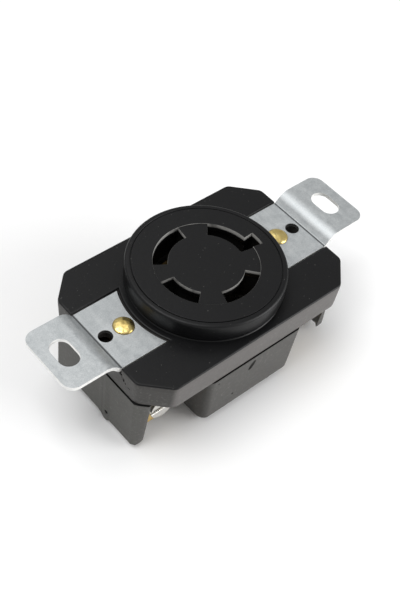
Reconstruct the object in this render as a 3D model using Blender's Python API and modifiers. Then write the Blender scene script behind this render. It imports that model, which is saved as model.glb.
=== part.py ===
"""A flush-mounted four-wire locking receptacle, 30 A size, lying on its back.

The frame: +X runs along the mounting ears, +Z is the way the face looks, and the
origin is under the middle of the body, on the plane that it rests on.
"""
import math

import bmesh
import bpy
from mathutils import Matrix, Vector

MM = 0.001
GAP = 0.3 * MM                      # clearance between pieces that touch

# Heights above the resting plane
STRAP_TOP = 26.4 * MM               # top of the sunk part of each mounting ear
COVER_TOP = STRAP_TOP + 0.3 * MM
EAR_RISE = 2.7 * MM
FACE_TOP = STRAP_TOP + 6.1 * MM
RIM_UNDERSIDE = STRAP_TOP + 1.5 * MM
SKIRT_BOTTOM = STRAP_TOP - 7.8 * MM
COVER_UNDERSIDE = COVER_TOP - 3.2 * MM
BODY_TOP = SKIRT_BOTTOM - GAP
CORE_TOP = COVER_UNDERSIDE - 1.6 * MM
TOWER_TOP = FACE_TOP - 2.5 * MM
WALL_BOTTOM = 1.2 * MM
WEB_BOTTOM = 4.0 * MM
CAVITY_FLOOR = 5.2 * MM

# Front cover
HALF_LENGTH = 33.0 * MM
HALF_WIDTH = 21.5 * MM
CORNER_CUT = 6.5 * MM               # how much each chamfered corner takes off X and Y
CORNER_ROUND = 1.2 * MM
SKIRT_WALL = 2.0 * MM
FACE_RADIUS = 19.9 * MM
NECK_RADIUS = 19.5 * MM
FACE_THICK = 2.2 * MM
FACE_HOLLOW = 17.0 * MM             # radius of the hollow behind the face
LAND_RADIUS = 21.3 * MM             # flat ring between the neck and the ear's recess

# Mounting ears: standard spacings are 83.3 mm for the slots and 60.3 mm for the tapped holes
EAR_THICK = 1.0 * MM
EAR_HALF_WIDTH = 9.42 * MM
EAR_END = 47.1 * MM
EAR_CORNER = 3.0 * MM
EAR_ARC = 21.8 * MM                 # the ear's inner end is hollowed round the neck
BEND_START = 32.7 * MM
BEND_ANGLE = math.radians(50)
BEND_INNER = 1.0 * MM               # radii of the two bends, at half thickness
BEND_OUTER = 4.0 * MM
SLOT_X = 41.66 * MM
SLOT_WIDTH = 5.2 * MM
SLOT_LENGTH = 8.3 * MM
TAPPED_X = 30.16 * MM
TAPPED_RADIUS = 1.8 * MM
RIVET_X = 24.9 * MM
RIVET_SHANK = 2.0 * MM
RIVET_HEAD = 2.65 * MM

# Blade slots in the face, as angles in degrees from +X
SLOT_INNER = 9.4 * MM
SLOT_OUTER = 13.1 * MM
HOOK_OUTER = 15.8 * MM
BLADE_SLOTS = {
    "line_x": (251.0, 311.2),
    "line_y": (82.0, 147.3),
    "neutral": (172.3, 220.6),
    "ground": (-12.5, 48.4),
}
HOOK_ANGLES = (-11.3, 3.6)          # the ground slot's outward step

# Rear body
BLOCK_HALF_LENGTH = 15.0 * MM
BLOCK_FOOT_WIDTH = 20.5 * MM        # half width at the bottom, after the draft
BLOCK_ROUND = 3.5 * MM
WEB_HALF = 9.2 * MM
END_WALL = 2.3 * MM
TOWER_RADIUS = 16.7 * MM
LUG_RADIUS = 1.6 * MM
LUG_Y = 4.7 * MM
CAVITY_INNER = 8.2 * MM             # radii of the chamber that holds each contact
CAVITY_OUTER = 14.2 * MM
CAVITY_MARGIN = 2                   # degrees that a chamber reaches past its blade slot
HOOK_FLOOR = CAVITY_FLOOR + 6 * MM
TAP_WELL_FLOOR = 8.0 * MM           # bottom of the clearance under each tapped hole

# Grounding plate
RING_INNER = TOWER_RADIUS + 0.5 * MM
RING_OUTER = 19.0 * MM
TONGUE_START = 18.0 * MM
TONGUE_END = RIVET_X + 3.0 * MM
TONGUE_HALF = 4.5 * MM
TAB_NEAR = 17.2 * MM                # the tab that goes down to the ground contact's strip
TAB_FAR = 21.2 * MM
TAB_REACH = 5.0 * MM                # how far it goes below the strip's upper edge
TAB_OUTER = WEB_HALF - 0.1 * MM

# Contacts and terminals
STRIP_THICK = 1.0 * MM
JAW_RADIUS = 12.8 * MM              # middle of the fixed outer leaf
LEAF_INNER = 10.0 * MM
LEAF_OUTER = 10.7 * MM
CONTACT_TOP = 21.5 * MM
CONTACT_FLOOR = 5.5 * MM
LEAF_FLOOR = 6.8 * MM
TERMINAL_X = 24.2 * MM
TERMINAL_Y = 10.2 * MM              # middle of the terminal plate
TERMINAL_Z = 10.6 * MM
TERMINAL_HALF = 4.5 * MM
STRIP_TOP = 15.6 * MM
STRIP_INSET = 5                     # degrees between a blade slot's end and its contact's end
LEAF_INSET = 6
KNEE_REACH = 2.2 * MM               # how far the strip runs out before it turns along X
SCREW_RADIUS = 2.0 * MM
SCREW_HEAD = 3.5 * MM
SCREW_HEAD_THICK = 1.3 * MM
SCREW_TIP_Y = 5.2 * MM
SCREW_ADVANCE = 1.6 * MM            # how much further in a screw goes when its clamp is tightened
DRIVE_HALF = 0.5 * MM               # half the width of the screwdriver slot
DRIVE_DEPTH = 0.9 * MM
CLAMP_Y = 12.6 * MM                 # inner face of the clamp plate
CLAMP_THICK = 1.4 * MM
CLAMP_WIDTH = 9.0 * MM
CLAMP_HEIGHT = 11.6 * MM

# Each pole: the side of X and of Y that its terminal is on
POLES = {
    "line_x": (1, -1),
    "line_y": (-1, 1),
    "neutral": (-1, -1),
    "ground": (1, 1),
}
SCREW_FINISHES = {"line_x": "brass", "line_y": "brass", "neutral": "nickel_plate", "ground": "green_plate"}

MATERIALS = {
    "cover_plastic": ((0.018, 0.019, 0.021), 0.38, 0.0),
    "body_plastic": ((0.035, 0.035, 0.034), 0.50, 0.0),
    "zinc_steel": ((0.62, 0.64, 0.65), 0.38, 1.0),
    "polished_brass": ((0.83, 0.68, 0.33), 0.22, 1.0),
    "brass": ((0.78, 0.60, 0.26), 0.30, 1.0),
    "nickel_plate": ((0.72, 0.71, 0.68), 0.30, 1.0),
    "green_plate": ((0.10, 0.34, 0.16), 0.40, 1.0),
    "spring_bronze": ((0.62, 0.40, 0.22), 0.35, 1.0),
}


def clear_scene():
    for thing in list(bpy.data.objects):
        bpy.data.objects.remove(thing, do_unlink=True)


def new_collection(name):
    collection = bpy.data.collections.new(name)
    bpy.context.scene.collection.children.link(collection)
    return collection


def make_materials():
    made = {}
    for name, (colour, roughness, metallic) in MATERIALS.items():
        material = bpy.data.materials.new(name)
        material.use_nodes = True
        shader = material.node_tree.nodes["Principled BSDF"]
        shader.inputs["Base Color"].default_value = (*colour, 1.0)
        shader.inputs["Roughness"].default_value = roughness
        shader.inputs["Metallic"].default_value = metallic
        made[name] = material
    return made


# Plan geometry

def arc(radius, start, end, steps, centre=(0.0, 0.0)):
    """Points on an arc, with the angles in degrees."""
    points = []
    for step in range(steps + 1):
        angle = math.radians(start + (end - start) * step / steps)
        points.append((centre[0] + radius * math.cos(angle), centre[1] + radius * math.sin(angle)))
    return points


def sector(inner, outer, start, end):
    """A piece of a ring."""
    steps = max(4, round(abs(end - start) / 6))
    return arc(outer, start, end, steps) + arc(inner, end, start, steps)


def rounded(corners, radius, steps=4):
    """A closed outline with each corner replaced by an arc that is tangent to both sides."""
    points = []
    count = len(corners)
    for index, corner in enumerate(corners):
        here = Vector(corner)
        back = (Vector(corners[index - 1]) - here).normalized()
        ahead = (Vector(corners[(index + 1) % count]) - here).normalized()
        half = back.angle(ahead) / 2
        centre = here + (back + ahead).normalized() * radius / math.sin(half)
        start = here + back * radius / math.tan(half) - centre
        end = here + ahead * radius / math.tan(half) - centre
        turn = math.atan2(start.x * end.y - start.y * end.x, start.dot(end))
        for step in range(steps + 1):
            angle = turn * step / steps
            points.append(tuple(centre + Matrix.Rotation(angle, 2) @ start))
    return points


def chamfered_plan(inset=0.0):
    """The cover's outline: a rectangle whose corners are cut off, inset evenly."""
    x = HALF_LENGTH - inset
    y = HALF_WIDTH - inset
    cut = CORNER_CUT - inset * (2 - math.sqrt(2))
    corners = [(x, y - cut), (x - cut, y), (cut - x, y), (-x, y - cut),
               (-x, cut - y), (cut - x, -y), (x - cut, -y), (x, cut - y)]
    return rounded(corners, CORNER_ROUND)


def thick_line(path, thickness):
    """The outline of a bent strip, mitred at its bends."""
    points = [Vector(point) for point in path]
    left = []
    right = []
    for index, here in enumerate(points):
        before = (here - points[index - 1]).normalized() if index else None
        after = (points[index + 1] - here).normalized() if index + 1 < len(points) else None
        before = before or after
        after = after or before
        normal = Vector((-(before + after).y, (before + after).x)).normalized()
        reach = thickness / 2 / normal.dot(Vector((-before.y, before.x)))
        left.append(tuple(here + normal * reach))
        right.append(tuple(here - normal * reach))
    return left + right[::-1]


# Solids

def keep(thing, name, collection, material=None):
    """Name an object, file it in one collection and give it its material."""
    for owner in list(thing.users_collection):
        owner.objects.unlink(thing)
    collection.objects.link(thing)
    thing.name = name
    thing.data.name = name
    if material:
        thing.data.materials.clear()
        thing.data.materials.append(material)
    if collection is cutters:
        thing.hide_render = True
        thing.display_type = "WIRE"
    return thing


def bake(thing, matrix=None):
    """Turn an object, as it evaluates, into a mesh object in world coordinates."""
    bpy.context.view_layer.update()
    graph = bpy.context.evaluated_depsgraph_get()
    mesh = bpy.data.meshes.new_from_object(thing.evaluated_get(graph))
    mesh.transform(matrix or thing.matrix_world)
    welded = bmesh.new()
    welded.from_mesh(mesh)
    bmesh.ops.remove_doubles(welded, verts=welded.verts, dist=0.000001)
    bmesh.ops.recalc_face_normals(welded, faces=welded.faces)
    welded.to_mesh(mesh)
    welded.free()
    solid = bpy.data.objects.new(thing.name, mesh)
    bpy.context.scene.collection.objects.link(solid)
    bpy.data.objects.remove(thing, do_unlink=True)
    return solid


def prism(outlines, low, high, axis="Z"):
    """A flat outline, with any holes as further outlines, drawn out along Z, Y or X."""
    curve = bpy.data.curves.new("outline", "CURVE")
    curve.dimensions = "2D"
    curve.fill_mode = "BOTH"
    curve.extrude = (high - low) / 2
    for outline in outlines:
        spline = curve.splines.new("POLY")
        spline.points.add(len(outline) - 1)
        for point, (u, v) in zip(spline.points, outline):
            point.co = (u, v, 0.0, 1.0)
        spline.use_cyclic_u = True
    thing = bpy.data.objects.new("outline", curve)
    bpy.context.scene.collection.objects.link(thing)
    lift = Matrix.Translation((0, 0, (low + high) / 2))
    turns = {
        "Z": Matrix.Identity(4),
        "Y": Matrix(((1, 0, 0, 0), (0, 0, 1, 0), (0, 1, 0, 0), (0, 0, 0, 1))),
        "X": Matrix(((0, 0, 1, 0), (1, 0, 0, 0), (0, 1, 0, 0), (0, 0, 0, 1))),
    }
    return bake(thing, turns[axis] @ lift)


def box(low, high):
    size = [b - a for a, b in zip(low, high)]
    middle = [(a + b) / 2 for a, b in zip(low, high)]
    bpy.ops.mesh.primitive_cube_add(size=1, location=middle, scale=size)
    return bake(bpy.context.object)


def cylinder(radius, low, high, centre, axis="Z", sides=32):
    """A cylinder from low to high along an axis, through a point given in the other two."""
    bpy.ops.mesh.primitive_cylinder_add(radius=radius, depth=high - low, vertices=sides)
    thing = bpy.context.object
    middle = (low + high) / 2
    if axis == "Z":
        place = Matrix.Translation((centre[0], centre[1], middle))
    elif axis == "Y":
        place = Matrix.Translation((centre[0], middle, centre[1])) @ Matrix.Rotation(math.pi / 2, 4, "X")
    else:
        place = Matrix.Translation((middle, centre[0], centre[1])) @ Matrix.Rotation(math.pi / 2, 4, "Y")
    return bake(thing, place)


def turned(profile, place, steps=32):
    """A profile of (radius, height) points from top to bottom, turned about Z, then placed."""
    mesh = bpy.data.meshes.new("profile")
    points = [(radius, 0.0, height) for radius, height in profile]
    mesh.from_pydata(points, [(i, i + 1) for i in range(len(points) - 1)], [])
    thing = bpy.data.objects.new("profile", mesh)
    bpy.context.scene.collection.objects.link(thing)
    screw = thing.modifiers.new("turn", "SCREW")
    screw.steps = steps
    screw.render_steps = steps
    screw.use_merge_vertices = True
    screw.merge_threshold = 0.000005
    return bake(thing, place)


def combine(target, other, operation):
    """Boolean one solid with another, kept as a modifier on the first."""
    keep(other, f"{target.name}_{operation.lower()}", cutters)
    modifier = target.modifiers.new(other.name, "BOOLEAN")
    modifier.operation = operation
    modifier.solver = "EXACT"
    modifier.object = other


def cut(target, *others):
    for other in others:
        combine(target, other, "DIFFERENCE")


def join(target, *others):
    for other in others:
        combine(target, other, "UNION")


def finish(thing):
    """Shade the round faces smooth and keep the corners sharp."""
    solid = bake(thing)
    solid.data.shade_smooth()
    solid.data.set_sharp_from_angle(angle=math.radians(30))
    return solid


# Front cover

def ear_recess(side):
    """The shallow bed of one ear, open at the cover's end and hollowed round the neck."""
    half = EAR_HALF_WIDTH + GAP
    reach = math.degrees(math.asin(half / LAND_RADIUS))
    outline = arc(LAND_RADIUS, -reach, reach, 10) + [(HALF_LENGTH + MM, half), (HALF_LENGTH + MM, -half)]
    if side < 0:
        outline = [(-x, y) for x, y in outline]
    return prism([outline], STRAP_TOP - EAR_THICK - GAP, COVER_TOP + MM)


def make_front_cover():
    cover = prism([chamfered_plan()], SKIRT_BOTTOM, COVER_TOP)
    cover.name = "front_cover"
    edge = 0.5 * MM
    disc = [(0, FACE_TOP), (FACE_RADIUS - edge, FACE_TOP), (FACE_RADIUS, FACE_TOP - edge),
            (FACE_RADIUS, RIM_UNDERSIDE + edge), (NECK_RADIUS, RIM_UNDERSIDE),
            (NECK_RADIUS, COVER_TOP - MM), (0, COVER_TOP - MM)]
    join(cover, turned(disc, Matrix.Identity(4), 64))
    inside = prism([chamfered_plan(SKIRT_WALL)], SKIRT_BOTTOM - MM, COVER_UNDERSIDE)
    hollow = cylinder(FACE_HOLLOW, COVER_UNDERSIDE - MM, FACE_TOP - FACE_THICK, (0, 0), sides=48)
    cut(cover, inside, hollow)
    for side in (-1, 1):
        cut(cover, ear_recess(side))
        for radius, x in ((RIVET_SHANK, RIVET_X), (TAPPED_RADIUS, TAPPED_X)):
            cut(cover, cylinder(radius + GAP, COVER_UNDERSIDE - MM, COVER_TOP, (side * x, 0), sides=20))
    outlines = [sector(SLOT_INNER, SLOT_OUTER, start, end) for start, end in BLADE_SLOTS.values()]
    outlines.append(sector(SLOT_OUTER - MM, HOOK_OUTER, *HOOK_ANGLES))
    for outline in outlines:
        cut(cover, prism([outline], FACE_TOP - FACE_THICK - MM, FACE_TOP + MM))
    keep(finish(cover), "front_cover", parts, materials["cover_plastic"])


# Mounting ears

def ear_profile():
    """The ear's section along X: flat, bent up, bent level again, and flat to its end."""
    lean = (BEND_INNER + BEND_OUTER) * (1 - math.cos(BEND_ANGLE))
    riser = (EAR_RISE - lean) / math.sin(BEND_ANGLE)
    middle = STRAP_TOP - EAR_THICK / 2
    path = [(EAR_ARC * 0.8, middle)]
    degrees = math.degrees(BEND_ANGLE)
    path += arc(BEND_INNER, -90, degrees - 90, 5, (BEND_START, middle + BEND_INNER))
    top_x = path[-1][0] + riser * math.cos(BEND_ANGLE) + BEND_OUTER * math.sin(BEND_ANGLE)
    path += arc(BEND_OUTER, 90 + degrees, 90, 8, (top_x, middle + EAR_RISE - BEND_OUTER))
    path.append((EAR_END + MM, middle + EAR_RISE))
    return thick_line(path, EAR_THICK)


def obround(width, length, centre_x):
    """A slot with round ends, lying along Y."""
    radius = width / 2
    straight = (length - width) / 2
    return (arc(radius, 0, 180, 10, (centre_x, straight))
            + arc(radius, 180, 360, 10, (centre_x, -straight)))


def make_ear(side, name):
    ear = prism([ear_profile()], -EAR_HALF_WIDTH - MM, EAR_HALF_WIDTH + MM, axis="Y")
    ear.name = name
    half = EAR_HALF_WIDTH
    reach = math.degrees(math.asin(half / EAR_ARC))
    outer = EAR_END - EAR_CORNER
    plan = (arc(EAR_ARC, -reach, reach, 12)
            + arc(EAR_CORNER, 90, 0, 6, (outer, half - EAR_CORNER))
            + arc(EAR_CORNER, 0, -90, 6, (outer, EAR_CORNER - half)))
    combine(ear, prism([plan], COVER_UNDERSIDE, FACE_TOP), "INTERSECT")
    cut(ear, prism([obround(SLOT_WIDTH, SLOT_LENGTH, SLOT_X)], COVER_UNDERSIDE, FACE_TOP))
    cut(ear, cylinder(TAPPED_RADIUS, COVER_UNDERSIDE, FACE_TOP, (TAPPED_X, 0), sides=24))
    cut(ear, cylinder(RIVET_SHANK + GAP, COVER_UNDERSIDE, FACE_TOP, (RIVET_X, 0), sides=24))
    solid = finish(ear)
    if side < 0:
        solid.data.transform(Matrix.Rotation(math.pi, 4, "Z"))
    keep(solid, name, parts, materials["zinc_steel"])


def make_rivet(side, name):
    """A long brass rivet: a low domed head, a shank, and a hollow tail rolled under the web."""
    head_foot = STRAP_TOP + GAP
    dome = 0.8 * MM
    tail_top = WEB_BOTTOM - GAP
    tail_thick = 1.0 * MM
    bore = 1.2 * MM
    bore_top = WEB_BOTTOM + 8 * MM
    profile = [(0, head_foot + dome), (RIVET_HEAD * 0.6, head_foot + dome * 0.85),
               (RIVET_HEAD * 0.9, head_foot + dome * 0.45), (RIVET_HEAD, head_foot),
               (RIVET_SHANK, head_foot), (RIVET_SHANK, tail_top), (RIVET_SHANK + MM, tail_top),
               (RIVET_SHANK + MM, tail_top - tail_thick), (bore, tail_top - tail_thick),
               (bore, bore_top), (0, bore_top)]
    rivet = turned(profile, Matrix.Translation((side * RIVET_X, 0, 0)), 24)
    rivet.name = name
    keep(finish(rivet), name, parts, materials["polished_brass"])


# Rear body

def wire_path(pole):
    """The route in plan of one contact's strip: round its slot, then out to its terminal."""
    side_x, side_y = POLES[pole]
    start, end = BLADE_SLOTS[pole]
    first = HOOK_ANGLES[1] + STRIP_INSET if pole == "ground" else start + STRIP_INSET
    route = arc(JAW_RADIUS, first, end - STRIP_INSET / 2, 8)
    knee = route[-1][0] + side_x * KNEE_REACH
    route.append((knee, side_y * TERMINAL_Y))
    route.append((side_x * (TERMINAL_X + TERMINAL_HALF), side_y * TERMINAL_Y))
    return route


def make_rear_body():
    slope = (HALF_WIDTH - BLOCK_FOOT_WIDTH) / BODY_TOP
    foot = BLOCK_FOOT_WIDTH + slope * BLOCK_ROUND
    section = [(-HALF_WIDTH, BODY_TOP)]
    section += arc(BLOCK_ROUND, 180, 270, 6, (BLOCK_ROUND - foot, BLOCK_ROUND))
    section += arc(BLOCK_ROUND, 270, 360, 6, (foot - BLOCK_ROUND, BLOCK_ROUND))
    section.append((HALF_WIDTH, BODY_TOP))
    body = prism([section], -BLOCK_HALF_LENGTH, BLOCK_HALF_LENGTH, axis="X")
    body.name = "rear_body"

    inner = SKIRT_WALL + 2 * GAP
    core_x = HALF_LENGTH - inner
    core_y = HALF_WIDTH - inner
    web_x = HALF_LENGTH - END_WALL / 2
    join(body, box((-web_x, -WEB_HALF, WEB_BOTTOM), (web_x, WEB_HALF, BODY_TOP - MM)))
    join(body, box((-core_x, -WEB_HALF, BODY_TOP - 2 * MM), (core_x, WEB_HALF, CORE_TOP)))
    step_x = BLOCK_HALF_LENGTH - MM
    join(body, box((-step_x, -core_y, BODY_TOP - MM), (step_x, core_y, CORE_TOP)))
    for side in (-1, 1):
        wall = prism([chamfered_plan()], WALL_BOTTOM, BODY_TOP)
        wall.name = "end_wall"
        near = side * (HALF_LENGTH - END_WALL)
        far = side * (HALF_LENGTH + MM)
        slab = box((min(near, far), -HALF_WIDTH, 0), (max(near, far), HALF_WIDTH, STRAP_TOP))
        combine(wall, slab, "INTERSECT")
        join(body, bake(wall))
        low, high = sorted((side * (HALF_LENGTH - END_WALL + 0.2 * MM), side * (HALF_LENGTH - 0.2 * MM)))
        join(body, cylinder(LUG_RADIUS, low, high, (side * LUG_Y, LUG_RADIUS), axis="X", sides=24))
    join(body, cylinder(TOWER_RADIUS, BODY_TOP - MM, TOWER_TOP, (0, 0), sides=48))

    top = TOWER_TOP + MM
    for pole, (side_x, side_y) in POLES.items():
        start, end = BLADE_SLOTS[pole]
        chamber = sector(CAVITY_INNER, CAVITY_OUTER, start - CAVITY_MARGIN, end + CAVITY_MARGIN)
        cut(body, prism([chamber], CAVITY_FLOOR, top))
        cut(body, prism([thick_line(wire_path(pole)[-3:], STRIP_THICK + 2.4 * GAP)], CAVITY_FLOOR, top))
        tip = side_y * (SCREW_TIP_Y - SCREW_ADVANCE - GAP)
        low, high = sorted((tip, side_y * (WEB_HALF + MM)))
        middle = (side_x * TERMINAL_X, TERMINAL_Z)
        cut(body, cylinder(SCREW_RADIUS + 2 * GAP, low, high, middle, axis="Y", sides=20))
    for side in (-1, 1):
        cut(body, cylinder(RIVET_SHANK + GAP, 0, top, (side * RIVET_X, 0), sides=20))
        cut(body, cylinder(TAPPED_RADIUS + GAP, TAP_WELL_FLOOR, top, (side * TAPPED_X, 0), sides=20))
    hook_start, hook_end = HOOK_ANGLES
    hook = sector(SLOT_OUTER, TOWER_RADIUS + MM, hook_start - CAVITY_MARGIN, hook_end + CAVITY_MARGIN)
    cut(body, prism([hook], HOOK_FLOOR, top))
    notch_back = TAB_OUTER - 1.5 * MM
    notch_floor = STRIP_TOP - TAB_REACH - MM
    cut(body, box((TAB_NEAR - GAP, notch_back, notch_floor), (TAB_FAR + GAP, WEB_HALF + MM, top)))
    keep(finish(body), "rear_body", parts, materials["body_plastic"])


# Grounding plate

def make_ground_plate():
    """A flat ring round the tower with a tongue to each rivet and a tab down to the ground strip."""
    low = CORE_TOP + GAP
    high = COVER_UNDERSIDE - GAP
    ring = prism([arc(RING_OUTER, 0, 354, 59), arc(RING_INNER, 0, 354, 59)], low, high)
    ring.name = "ground_plate"
    for side in (-1, 1):
        near, far = sorted((side * TONGUE_START, side * TONGUE_END))
        join(ring, box((near, -TONGUE_HALF, low), (far, TONGUE_HALF, high)))
        cut(ring, cylinder(RIVET_SHANK + GAP, low - MM, high + MM, (side * RIVET_X, 0), sides=20))
    tab_inner = TAB_OUTER - (high - low)
    join(ring, box((TAB_NEAR, TONGUE_HALF / 2, low), (TAB_FAR, TAB_OUTER, high)))
    join(ring, box((TAB_NEAR, tab_inner, STRIP_TOP - TAB_REACH), (TAB_FAR, TAB_OUTER, high)))
    keep(finish(ring), "ground_plate", parts, materials["brass"])


# Contacts

def make_jaw(pole):
    """A contact's fixed leaf, its foot and its terminal plate, bent from one strip."""
    side_x, side_y = POLES[pole]
    start, end = BLADE_SLOTS[pole]
    route = wire_path(pole)
    jaw = prism([thick_line(route, STRIP_THICK)], CONTACT_FLOOR, CONTACT_TOP)
    jaw.name = f"contact_jaw_{pole}"
    edge = route[-3][0] + side_x * 0.6 * MM
    low, high = sorted((edge, side_x * HALF_LENGTH))
    near, far = sorted((side_y * (TERMINAL_Y - 2 * MM), side_y * (TERMINAL_Y + 2 * MM)))
    cut(jaw, box((low, near, STRIP_TOP), (high, far, FACE_TOP)))
    foot = sector(LEAF_INNER, JAW_RADIUS, start + STRIP_INSET, end - STRIP_INSET)
    join(jaw, prism([foot], CONTACT_FLOOR + 0.2 * MM, CONTACT_FLOOR + MM))
    cut(jaw, cylinder(SCREW_RADIUS + GAP, near, far, (side_x * TERMINAL_X, TERMINAL_Z), axis="Y", sides=24))
    keep(finish(jaw), f"contact_jaw_{pole}", parts, materials["brass"])


def make_leaf(pole):
    """A contact's sprung inner leaf, which gives way towards the middle when a blade comes in."""
    start, end = BLADE_SLOTS[pole]
    outline = sector(LEAF_INNER, LEAF_OUTER, start + LEAF_INSET, end - LEAF_INSET)
    leaf = prism([outline], LEAF_FLOOR, CONTACT_TOP)
    keep(finish(leaf), f"contact_leaf_{pole}", parts, materials["spring_bronze"])


# Terminals

def make_clamp(pole):
    """The oblong plate that the terminal's screw draws down on the wire."""
    side_x, side_y = POLES[pole]
    low, high = sorted((side_y * CLAMP_Y, side_y * (CLAMP_Y + CLAMP_THICK)))
    half = CLAMP_WIDTH / 2
    tall = CLAMP_HEIGHT / 2
    corners = [(-half, -tall), (half, -tall), (half, tall), (-half, tall)]
    corners = [(side_x * TERMINAL_X + u, TERMINAL_Z + v) for u, v in corners]
    clamp = prism([rounded(corners, 0.8 * MM, 3)], low, high, axis="Y")
    clamp.name = f"clamp_plate_{pole}"
    cut(clamp, cylinder(SCREW_RADIUS + GAP, low - MM, high + MM, (side_x * TERMINAL_X, TERMINAL_Z), "Y", 24))
    keep(finish(clamp), f"clamp_plate_{pole}", parts, materials["brass"])


def make_screw(pole):
    """A slotted terminal screw whose head faces the nearer long side."""
    side_x, side_y = POLES[pole]
    seat = CLAMP_Y + CLAMP_THICK + GAP
    crown = 0.4 * MM
    top = seat + SCREW_HEAD_THICK
    point = 0.6 * MM
    profile = [(0, top), (SCREW_HEAD - crown, top), (SCREW_HEAD, top - crown), (SCREW_HEAD, seat),
               (SCREW_RADIUS, seat), (SCREW_RADIUS, SCREW_TIP_Y + point),
               (SCREW_RADIUS - point, SCREW_TIP_Y), (0, SCREW_TIP_Y)]
    turn = Matrix.Rotation(-side_y * math.pi / 2, 4, "X")
    place = Matrix.Translation((side_x * TERMINAL_X, 0, TERMINAL_Z)) @ turn
    screw = turned(profile, place, 24)
    screw.name = f"terminal_screw_{pole}"
    low, high = sorted((side_y * (top - DRIVE_DEPTH), side_y * (top + MM)))
    reach = SCREW_HEAD + MM
    corner = (side_x * TERMINAL_X - reach, low, TERMINAL_Z - DRIVE_HALF)
    opposite = (side_x * TERMINAL_X + reach, high, TERMINAL_Z + DRIVE_HALF)
    cut(screw, box(corner, opposite))
    keep(finish(screw), f"terminal_screw_{pole}", parts, materials[SCREW_FINISHES[pole]])


clear_scene()
parts = new_collection("locking_receptacle")
cutters = new_collection("cutters")
materials = make_materials()

make_front_cover()
make_rear_body()
make_ground_plate()
for ear_side, ear_word in ((-1, "left"), (1, "right")):
    make_ear(ear_side, f"mounting_ear_{ear_word}")
    make_rivet(ear_side, f"ear_rivet_{ear_word}")
for pole_name in POLES:
    make_jaw(pole_name)
    make_leaf(pole_name)
    make_clamp(pole_name)
    make_screw(pole_name)
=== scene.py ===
import math

import bmesh
import bpy
import numpy as np
from mathutils import Matrix, Vector, geometry


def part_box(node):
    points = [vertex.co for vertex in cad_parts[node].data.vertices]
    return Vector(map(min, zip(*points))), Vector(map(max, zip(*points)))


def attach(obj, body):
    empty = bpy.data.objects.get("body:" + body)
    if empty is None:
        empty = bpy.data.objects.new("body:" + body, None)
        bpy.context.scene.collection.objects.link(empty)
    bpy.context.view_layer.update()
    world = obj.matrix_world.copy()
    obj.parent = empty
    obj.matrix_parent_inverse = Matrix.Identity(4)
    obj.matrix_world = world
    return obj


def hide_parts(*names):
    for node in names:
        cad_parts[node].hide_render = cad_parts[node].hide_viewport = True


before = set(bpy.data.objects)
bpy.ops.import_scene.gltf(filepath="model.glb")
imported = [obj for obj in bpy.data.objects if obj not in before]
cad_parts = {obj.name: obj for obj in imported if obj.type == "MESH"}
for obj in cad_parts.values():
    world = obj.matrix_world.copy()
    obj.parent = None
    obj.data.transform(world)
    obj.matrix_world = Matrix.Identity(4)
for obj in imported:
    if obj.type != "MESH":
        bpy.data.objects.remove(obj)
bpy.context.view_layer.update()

mm = 0.001

# heights and half sizes that the CAD parts already settle
coverLow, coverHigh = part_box("front_cover")
bodyLow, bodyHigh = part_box("rear_body")
earLow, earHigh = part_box("mounting_ear_right")
rivetLow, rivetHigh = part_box("ear_rivet_right")

halfLength = coverHigh.x
halfWidth = coverHigh.y
skirtBottom = coverLow.z
faceTop = coverHigh.z
earThick = 1.0 * mm
earTop = earHigh.z                    # top of the raised, outer part of an ear
strapTop = earTop - 2.7 * mm          # top of its sunk, inner part
coverTop = strapTop + 0.3 * mm
bodyTop = skirtBottom - 0.3 * mm

# the blade slots, as degrees from +X, and the ground slot's outward step
bladeSlots = {"line_x": (251.0, 311.2), "line_y": (82.0, 147.3),
              "neutral": (172.3, 220.6), "ground": (-12.5, 48.4)}
slotRadii = (9.4 * mm, 13.1 * mm)
hook = {"radius": 15.8 * mm, "start": -11.3, "end": 3.6}

# which way from the middle each terminal lies
poleSides = {"line_x": (1, -1), "line_y": (-1, 1), "neutral": (-1, -1), "ground": (1, 1)}


# outlines: arrays of (x, y), anticlockwise round material and clockwise round a hole

def arcPoints(radius, start, end, count, centre=(0.0, 0.0)):
    # the centre plus the radius times the cosine and sine of an angle that runs evenly
    angle = np.radians(np.linspace(start, end, count))
    return np.stack([centre[0] + radius * np.cos(angle), centre[1] + radius * np.sin(angle)], 1)


def circle(radius, count=96, centre=(0.0, 0.0)):
    # a full turn without its last point, which is its first
    return arcPoints(radius, 0, 360, count + 1, centre)[:-1]


def roundedLoop(corners, radii, steps=6):
    # each corner gives way to an arc that touches both sides, centred on the corner's bisector
    corners = np.asarray(corners, float)
    radii = np.broadcast_to(np.asarray(radii, float), len(corners))[:, None]
    back = np.roll(corners, 1, 0) - corners
    ahead = np.roll(corners, -1, 0) - corners
    back /= np.linalg.norm(back, axis=1, keepdims=True)
    ahead /= np.linalg.norm(ahead, axis=1, keepdims=True)
    half = np.arccos(np.clip((back * ahead).sum(1, keepdims=True), -1, 1)) / 2
    middle = back + ahead
    middle /= np.linalg.norm(middle, axis=1, keepdims=True)
    centre = corners + middle * radii / np.sin(half)
    first = corners + back * radii / np.tan(half) - centre
    side = np.sign(ahead[:, 0] * back[:, 1] - ahead[:, 1] * back[:, 0])[:, None]
    turn = side * (math.pi - 2 * half) * np.linspace(0, 1, steps + 1)[None, :]
    x = centre[:, :1] + first[:, :1] * np.cos(turn) - first[:, 1:] * np.sin(turn)
    y = centre[:, 1:] + first[:, :1] * np.sin(turn) + first[:, 1:] * np.cos(turn)
    return np.stack([x, y], -1).reshape(-1, 2)


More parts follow.
